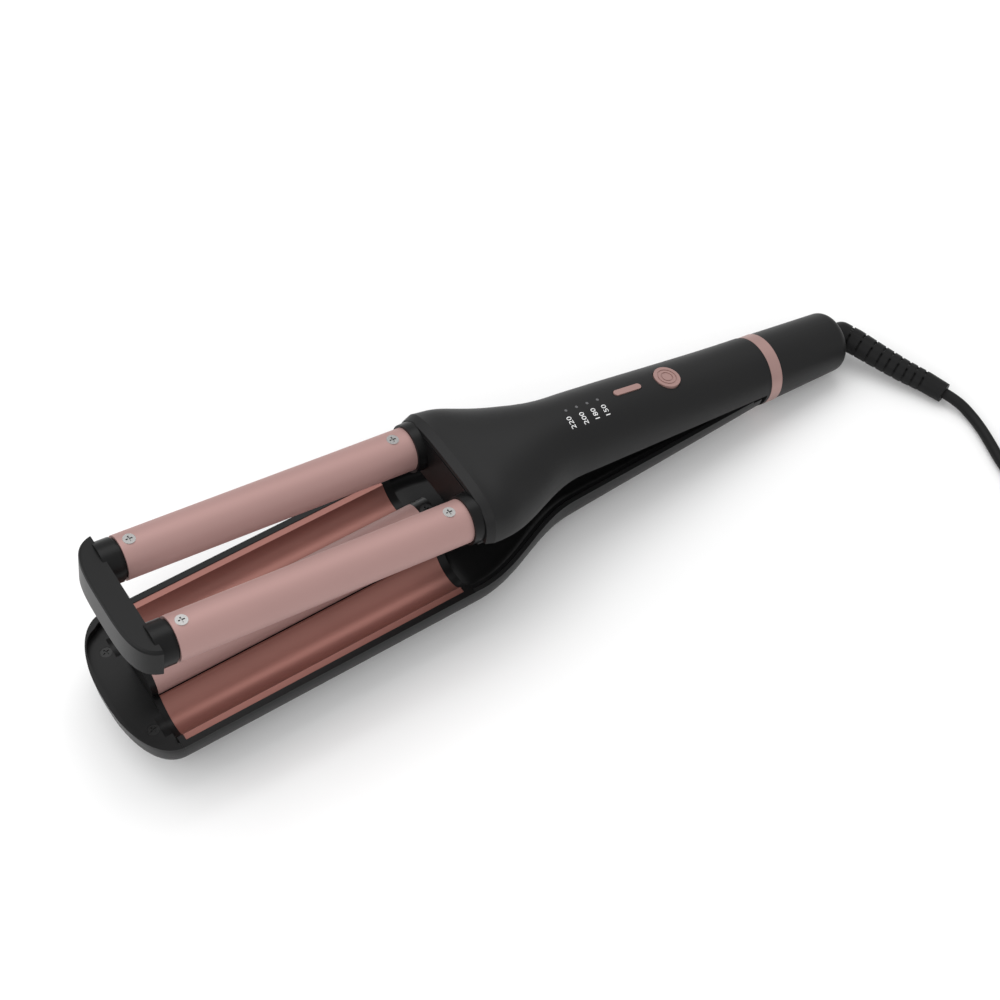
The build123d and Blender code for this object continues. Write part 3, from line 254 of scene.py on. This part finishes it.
tie_mesh = bpy.data.meshes.new("cord_tie_band")
maker = bmesh.new()
rows = []
for j in range(tie_rows):
    along = coil_middle.x + tie_width * (j / (tie_rows - 1) - 0.5)
    rows.append([maker.verts.new((Vector((along, *place)) + drawing_to_frame) * MM) for place in section])
for first, second in zip(rows, rows[1:]):
    for i in range(len(first)):
        k = (i + 1) % len(first)
        maker.faces.new((first[i], second[i], second[k], first[k]))
bmesh.ops.recalc_face_normals(maker, faces=maker.faces)
maker.to_mesh(tie_mesh)
maker.free()
cord_tie = bpy.data.objects.new("cord_tie_band", tie_mesh)
scene.collection.objects.link(cord_tie)
thick = cord_tie.modifiers.new("thickness", "SOLIDIFY")
thick.thickness = tie_thickness * MM
thick.offset = 1.0
tie_mesh.shade_smooth()
print("tie faces", len(tie_mesh.polygons))

# %% [markdown]
# Some small effects return on many surfaces, so each is a node group with named inputs: a fine
# moulded grain, soft clouds that vary gloss and colour, and fine drawn lines for metal.
# A group gives out only heights and masks; every material mixes them in its own way. These helpers
# make a group, add a node to it and work out one value from two others.

# %% Helpers for nodes
def new_group(name, inputs, output):
    """Empty shader node group with named number inputs and one output."""
    tree = bpy.data.node_groups.new(name, "ShaderNodeTree")
    for label, value in inputs.items():
        socket = tree.interface.new_socket(label, in_out="INPUT", socket_type="NodeSocketFloat")
        socket.default_value = value
    tree.interface.new_socket(output, in_out="OUTPUT", socket_type="NodeSocketFloat")
    start = tree.nodes.new("NodeGroupInput")
    end = tree.nodes.new("NodeGroupOutput")
    print("group", name, "gives", output)
    return tree, start, end


def set_inputs(node, values):
    """Set a node's inputs by name, where an underscore stands for a space."""
    for key, value in values.items():
        node.inputs[key.replace("_", " ")].default_value = value
    return node


def add_node(tree, kind, **values):
    """Node of a kind with its input values set."""
    return set_inputs(tree.nodes.new(kind), values)


def math_node(tree, operation, first, second):
    """Math node; each side is a socket or a number."""
    node = tree.nodes.new("ShaderNodeMath")
    node.operation = operation
    for i, side in enumerate((first, second)):
        if isinstance(side, (int, float)):
            node.inputs[i].default_value = side
        else:
            tree.links.new(side, node.inputs[i])
    return node.outputs[0]


# %% [markdown]
# Moulded plastic and sprayed coats have a skin of tiny bumps. An image could hold them, but noise
# worked out in space needs no unwrapping. Here a fine noise makes the bumps and a coarser pattern of
# cells adds the pits between them.

# %% Group: moulded grain
pit_scale_share = 0.6

grain, start, end = new_group("moulded_grain", {"Scale": 1500.0, "Coarse share": 0.3}, "Height")
place = grain.nodes.new("ShaderNodeTexCoord")
fine = add_node(grain, "ShaderNodeTexNoise", Detail=3.0, Roughness=0.6)
grain.links.new(place.outputs["Object"], fine.inputs["Vector"])
grain.links.new(start.outputs["Scale"], fine.inputs["Scale"])
pits = add_node(grain, "ShaderNodeTexVoronoi")
grain.links.new(place.outputs["Object"], pits.inputs["Vector"])
pit_scale = math_node(grain, "MULTIPLY", start.outputs["Scale"], pit_scale_share)
grain.links.new(pit_scale, pits.inputs["Scale"])
coarse = math_node(grain, "MULTIPLY", pits.outputs["Distance"], start.outputs["Coarse share"])
grain.links.new(math_node(grain, "ADD", fine.outputs[0], coarse), end.inputs["Height"])

# %% [markdown]
# No surface is quite even: handling and moulding leave it a little shinier here and duller there.
# A slow noise makes such clouds. Pushing its values away from their middle makes them sharper.

# %% Group: soft clouds
noise_middle = 0.5

clouds, start, end = new_group("soft_clouds", {"Scale": 30.0, "Sharpness": 1.0}, "Mask")
place = clouds.nodes.new("ShaderNodeTexCoord")
slow = add_node(clouds, "ShaderNodeTexNoise", Detail=4.0, Roughness=0.55)
clouds.links.new(place.outputs["Object"], slow.inputs["Vector"])
clouds.links.new(start.outputs["Scale"], slow.inputs["Scale"])
centred = math_node(clouds, "SUBTRACT", slow.outputs[0], noise_middle)
steeper = math_node(clouds, "MULTIPLY", centred, start.outputs["Sharpness"])
clouds.links.new(math_node(clouds, "ADD", steeper, noise_middle), end.inputs["Mask"])

# %% [markdown]
# Turned and drawn metal keeps fine lines from the tool that made it. A noise that is squeezed in two
# directions and left long in the third draws them, all along the tool's length.

# %% Group: drawn lines
lines, start, end = new_group("drawn_lines", {"Across": 900.0, "Along": 12.0}, "Height")
place = lines.nodes.new("ShaderNodeTexCoord")
parts = lines.nodes.new("ShaderNodeSeparateXYZ")
joined = lines.nodes.new("ShaderNodeCombineXYZ")
lines.links.new(place.outputs["Object"], parts.inputs[0])
for axis, label in (("X", "Along"), ("Y", "Across"), ("Z", "Across")):
    scaled = math_node(lines, "MULTIPLY", parts.outputs[axis], start.outputs[label])
    lines.links.new(scaled, joined.inputs[axis])
streaks = add_node(lines, "ShaderNodeTexNoise", Scale=1.0, Detail=2.0)
lines.links.new(joined.outputs[0], streaks.inputs["Vector"])
lines.links.new(streaks.outputs[0], end.inputs["Height"])

# %% [markdown]
# One recipe builds every finish: a colour that drifts a little, a roughness that clouds over and
# a very low bump. Constants such as specular level or sheen are set straight on the shader's own
# sockets. A Mix node has sockets called A and B for each kind of value, so the two for colours go
# by number here.

# %% Recipe for a finish
cloud_sharpness = 1.6
speck_share = 0.06
mix_dark, mix_full, mix_result = 6, 7, 2


def place_group(tree, group, **values):
    """Node group placed in a material with its own input values."""
    node = tree.nodes.new("ShaderNodeGroup")
    node.node_tree = group
    return set_inputs(node, values)


def finish(name, colour, dark, rough, spread, metal=0.0, grain_scale=1500.0, bump=0.1,
           depth=0.00002, drawn=False, cloud_scale=30.0, **sockets):
    """Principled material with clouded colour, clouded roughness and a fine bump."""
    material = bpy.data.materials.new(name)
    material.use_nodes = True
    tree = material.node_tree
    shader = set_inputs(tree.nodes["Principled BSDF"], {"Metallic": metal, **sockets})

    cloud = place_group(tree, clouds, Scale=cloud_scale, Sharpness=cloud_sharpness)
    drift = tree.nodes.new("ShaderNodeMix")
    drift.data_type = "RGBA"
    drift.inputs[mix_dark].default_value = (*[c * dark for c in colour], 1.0)
    drift.inputs[mix_full].default_value = (*colour, 1.0)
    tree.links.new(cloud.outputs["Mask"], drift.inputs[0])
    tree.links.new(drift.outputs[mix_result], shader.inputs["Base Color"])

    texture = place_group(tree, lines) if drawn else place_group(tree, grain, Scale=grain_scale)
    level = math_node(tree, "MULTIPLY", cloud.outputs["Mask"], spread)
    level = math_node(tree, "ADD", level, rough - spread / 2)
    speck = math_node(tree, "MULTIPLY", texture.outputs["Height"], speck_share)
    tree.links.new(math_node(tree, "ADD", level, speck), shader.inputs["Roughness"])
    relief = add_node(tree, "ShaderNodeBump", Strength=bump, Distance=depth)
    tree.links.new(texture.outputs["Height"], relief.inputs["Height"])
    tree.links.new(relief.outputs["Normal"], shader.inputs["Normal"])
    return material


print("recipe for finishes, cloud sharpness", cloud_sharpness)

# %% [markdown]
# The barrels and plates wear a satin rose-brown coating over aluminium. A coating on metal is
# partly metallic: its colour shows at every angle and a soft sheen of light runs along a tube.

# %% Finishes of the coated parts
barrel_coat = finish("barrel_coat", (0.40, 0.245, 0.228), dark=0.95, rough=0.52, spread=0.05,
                     metal=0.30, grain_scale=2600.0, bump=0.15, Specular_IOR_Level=0.35)
plate_coat = finish("plate_coat", (0.27, 0.118, 0.098), dark=0.88, rough=0.37, spread=0.06,
                    metal=0.50, grain_scale=2600.0, bump=0.15, Specular_IOR_Level=0.35)
trim_coat = finish("trim_coat", (0.38, 0.24, 0.22), dark=0.92, rough=0.40, spread=0.06,
                   metal=0.5, drawn=True)
button_coat = finish("button_coat", (0.37, 0.225, 0.205), dark=0.94, rough=0.38, spread=0.05,
                     metal=0.4, grain_scale=3000.0, bump=0.06)
print("coats", [m.name for m in (barrel_coat, plate_coat, trim_coat, button_coat)])

# %% [markdown]
# Screws, pins and clamps are bare metal, so they are fully metallic and take their look from what
# they mirror and from their drawn lines. The screws of the jaw's front cap and of the middle barrel's
# holder are blackened. A black skin hides the metal, so that finish is not metallic at all.

# %% Finishes of the bare metal parts
plain_steel = finish("plain_steel", (0.33, 0.325, 0.32), dark=0.8, rough=0.26, spread=0.12,
                     metal=1.0, drawn=True)
blackened_steel = finish("blackened_steel", (0.007, 0.007, 0.007), dark=0.7, rough=0.26, spread=0.1,
                         grain_scale=2500.0, Specular_IOR_Level=0.25)
plain_aluminium = finish("plain_aluminium", (0.50, 0.50, 0.51), dark=0.85, rough=0.36, spread=0.12,
                         metal=1.0, drawn=True)
pin_brass = finish("pin_brass", (0.72, 0.55, 0.26), dark=0.85, rough=0.28, spread=0.1,
                   metal=1.0, drawn=True)
print("metals", [m.name for m in (plain_steel, blackened_steel, plain_aluminium, pin_brass)])

# %% [markdown]
# The housing is moulded in black plastic with a fine spark-eroded texture, which is why it looks
# dark grey under soft light. The heat-resistant frame is a little glossier. Cord rubber is softer
# and duller, and the woven tape gets a deep grain and some sheen from its stray threads.

# %% Finishes of the plastic and rubber parts
shell_black = finish("shell_black", (0.0098, 0.0098, 0.0101), dark=0.85, rough=0.42, spread=0.05,
                     grain_scale=2200.0, bump=0.25, Specular_IOR_Level=0.20)
frame_black = finish("frame_black", (0.0060, 0.0060, 0.0062), dark=0.8, rough=0.32, spread=0.07,
                     grain_scale=2600.0, bump=0.18, Specular_IOR_Level=0.17)
swivel_black = finish("swivel_black", (0.009, 0.009, 0.009), dark=0.8, rough=0.38, spread=0.08,
                      grain_scale=2400.0, Specular_IOR_Level=0.25)
cord_black = finish("cord_black", (0.0085, 0.0085, 0.0088), dark=0.8, rough=0.46, spread=0.08,
                    grain_scale=1800.0, bump=0.2, cloud_scale=60.0, Specular_IOR_Level=0.14)
tape_black = finish("tape_black", (0.02, 0.02, 0.021), dark=0.7, rough=0.85, spread=0.08,
                    grain_scale=1400.0, bump=0.8, depth=0.0002, Sheen_Weight=0.3, Sheen_Roughness=0.5)
print("blacks", [m.name for m in (shell_black, frame_black, swivel_black, cord_black, tape_black)])

# %% [markdown]
# Inside the tool are white ceramic heaters, grey glass-silicone sleeves round the leads and a green
# board. They are hardly seen, yet each has its own finish, in case the housing is taken off. The
# small lamps are clear plastic that looks dark while they are off, and the marks are white ink.

# %% Finishes of the inner parts, lamps and marks
heater_white = finish("heater_white", (0.78, 0.75, 0.70), dark=0.9, rough=0.5, spread=0.1)
sleeve_grey = finish("sleeve_grey", (0.52, 0.50, 0.45), dark=0.85, rough=0.7, spread=0.1,
                     grain_scale=2500.0, bump=0.5)
board_green = finish("board_green", (0.03, 0.14, 0.05), dark=0.8, rough=0.35, spread=0.1)
lamp_clear = finish("lamp_clear", (0.10, 0.10, 0.105), dark=0.9, rough=0.25, spread=0.05,
                    grain_scale=3000.0, bump=0.05)
mark_white = finish("mark_white", (0.80, 0.80, 0.80), dark=0.95, rough=0.55, spread=0.05,
                    grain_scale=3000.0, bump=0.05)
print("others", [m.name for m in (heater_white, sleeve_grey, board_green, lamp_clear, mark_white)])

# %% [markdown]
# The ready-made parts keep their shapes, and only the material in their slots changes. A table from
# finish to parts shows at a glance what is made of what. The cord's own solids are not in it,
# because the curve stands for them.

# %% Dress the ready-made parts
dress = {
    barrel_coat: ["barrel_left", "barrel_right", "centre_barrel"],
    plate_coat: ["channel_plate_left", "channel_plate_right"],
    trim_coat: ["trim_ring"],
    button_coat: ["power_button", "level_button"],
    plain_steel: ["barrel_screws", "cover_screws", "jaw_shell_screws", "hinge_pin", "hinge_springs"],
    blackened_steel: ["jaw_cap_screws", "holder_screw"],
    plain_aluminium: ["barrel_clamps", "channel_saddles", "centre_clamp"],
    pin_brass: ["contact_rings", "plug_pins"],
    shell_black: ["top_housing", "jaw_shell", "under_cover", "rear_cap"],
    frame_black: ["nose_block", "front_bridge", "jaw_frame", "jaw_front_cap", "lever_cover"],
    swivel_black: ["swivel_plug", "swivel_socket"],
    cord_black: ["strain_relief", "mains_plug"],
    heater_white: ["barrel_heaters", "channel_heaters", "centre_heater"],
    sleeve_grey: ["barrel_leads", "mains_lead_left", "mains_lead_right", "jaw_leads"],
    board_green: ["circuit_board", "board_parts", "tact_switches"],
    lamp_clear: ["indicator_leds", "light_pipes"],
}
for material, names in dress.items():
    for name in names:
        for holder in nodes[name].material_slots:
            holder.material = material
print("dressed", sum(len(names) for names in dress.values()), "parts")

# %% [markdown]
# The cord, its tie and the ribs turn with the cord outlet, so they ride on its body. The ready-made cord
# pieces and tie are hidden, because the curve and the new band stand for them.

# %% Cord: finish and place
mains_cord.data.materials.append(cord_black)
cord_tie.data.materials.append(tape_black)
for rib in sleeve_ribs:
    rib.data.materials.append(cord_black)
for piece in (mains_cord, cord_tie, *sleeve_ribs):
    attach(piece, "cord_swivel")
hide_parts("power_cord", "cord_coil", "cord_tail")
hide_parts("cord_tie")

# %% [markdown]
# Four settings are printed beside the four small lamps. They follow the curved housing, so the
# housing's skin has to be found first. A ray is shot at it from above, square to the arm. The arm is
# turned up about the hinge, whose place and angle the frame gives, while the numbers' own places are
# measured on the closed tool.

# %% Printed numbers: places on the housing
hinge = next(joint for joint in frame["joints"] if joint["name"] == "jaw_hinge")
hinge_place = Vector(hinge["pos_m"])
open_angle = math.radians(-hinge["range_deg"][0])
closed_hinge_x, closed_hinge_z = -181.0, -15.0
ray_height = 60.0


def on_arm(x, y, z):
    """Place in the scene of a point given in millimetres on the closed tool."""
    dx = (x - closed_hinge_x) * MM
    dz = (z - closed_hinge_z) * MM
    c, s = math.cos(open_angle), math.sin(open_angle)
    return Vector((hinge_place.x + dx * c - dz * s, y * MM, hinge_place.z + dx * s + dz * c))


def skin(x, y):
    """Point and outward direction of the housing above a place, found by a ray from above."""
    above = on_arm(x, y, ray_height)
    down = (on_arm(x, y, 0.0) - above).normalized()
    _, place, normal, _ = nodes["top_housing"].ray_cast(above, down)
    return place, normal


print("arm opens", round(math.degrees(open_angle), 1), "degrees")

# %% [markdown]
# Printed ink has almost no thickness, so each number is a flat text turned into a mesh. Its height
# on the page becomes a place along the handle and its width a place across it, and each point is
# then laid a hair above the skin.

# %% Printed numbers: ink
settings = [("220", -74.9), ("200", -81.9), ("180", -88.3), ("150", -94.3)]
digit_height = 2.45
digit_stretch = 1.2
from_middle = 6.6
ink_lift = 0.00004


def flat_text(words):
    """Mesh of some words, flat and about its own middle."""
    text = bpy.data.curves.new("ink", "FONT")
    text.body = words
    text.align_x = "CENTER"
    text.align_y = "CENTER"
    text.resolution_u = 3
    holder = bpy.data.objects.new("ink", text)
    scene.collection.objects.link(holder)
    bpy.context.view_layer.update()
    mesh = bpy.data.meshes.new_from_object(holder.evaluated_get(bpy.context.evaluated_depsgraph_get()))
    bpy.data.objects.remove(holder)
    mesh.materials.clear()
    mesh.materials.append(mark_white)
    return mesh


for words, x in settings:
    flat = flat_text(words)
    tall = max(v.co.y for v in flat.vertices) - min(v.co.y for v in flat.vertices)
    for v in flat.vertices:
        along = x + v.co.y / tall * digit_height
        across = from_middle - v.co.x / tall * digit_height * digit_stretch
        place, normal = skin(along, across)
        v.co = place + normal * ink_lift
    ink = bpy.data.objects.new("ink_" + words, flat)
    scene.collection.objects.link(ink)
    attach(ink, "barrel_arm")
print("numbers", [words for words, _ in settings])

# %% [markdown]
# The tool lies on a wide pale table. The table is a hair lower than the tool's lowest point, so the
# two never fight for the same place, and its dull finish takes a soft shadow without mirroring.

# %% Table
table_size = 6.0
table_z = -0.0002

bpy.ops.mesh.primitive_plane_add(size=table_size, location=(0.0, 0.0, table_z))
table = bpy.context.object
table.name = "table"
paper = bpy.data.materials.new("paper")
paper.use_nodes = True
set_inputs(paper.node_tree.nodes["Principled BSDF"],
           {"Base Color": (0.92, 0.92, 0.92, 1.0), "Roughness": 0.9, "Specular IOR Level": 0.1})
table.data.materials.append(paper)
print("table", table_size, "m wide")

# %% [markdown]
# A white world gives light from all round. It lights the tool at three quarters of full strength and
# is shown at full strength where the camera sees it, so the background is white and the tool isn't
# washed out.

# %% World
light_strength = 0.75
seen_extra = 0.25

world = bpy.data.worlds.new("studio")
scene.world = world
world.use_nodes = True
sky_tree = world.node_tree
sky = sky_tree.nodes["Background"]
sky.inputs["Color"].default_value = (1.0, 1.0, 1.0, 1.0)
rays = sky_tree.nodes.new("ShaderNodeLightPath")
extra = math_node(sky_tree, "MULTIPLY", rays.outputs["Is Camera Ray"], seen_extra)
sky_tree.links.new(math_node(sky_tree, "ADD", extra, light_strength), sky.inputs["Strength"])
print("world strength", light_strength, "seen as", light_strength + seen_extra)

# %% [markdown]
# Three large area lamps round the tool add a soft direction to that light. A large lamp gives soft
# shadows and broad, gentle highlights along the barrels and the handle, where a small one would
# give hard edges. Each lamp is set by its place, its width and height in metres and its power.

# %% Lamps
lamp_target = Vector((0.0, 0.0, 0.03))
lamps = [("overhead", (-0.1, -0.5, 1.3), (1.6, 0.9), 9.0),
         ("side", (0.9, 0.9, 0.9), (1.1, 1.1), 5.0),
         ("front", (1.1, -0.5, 0.7), (0.8, 1.0), 2.5)]
for name, place, (width, height), power in lamps:
    data = bpy.data.lights.new(name, "AREA")
    data.shape = "RECTANGLE"
    data.size = width
    data.size_y = height
    data.energy = power
    lamp = bpy.data.objects.new(name, data)
    scene.collection.objects.link(lamp)
    lamp.location = place
    lamp.rotation_euler = (lamp_target - Vector(place)).to_track_quat("-Z", "Y").to_euler()
scene.view_settings.view_transform = "Standard"
print("lamps", [name for name, *_ in lamps])
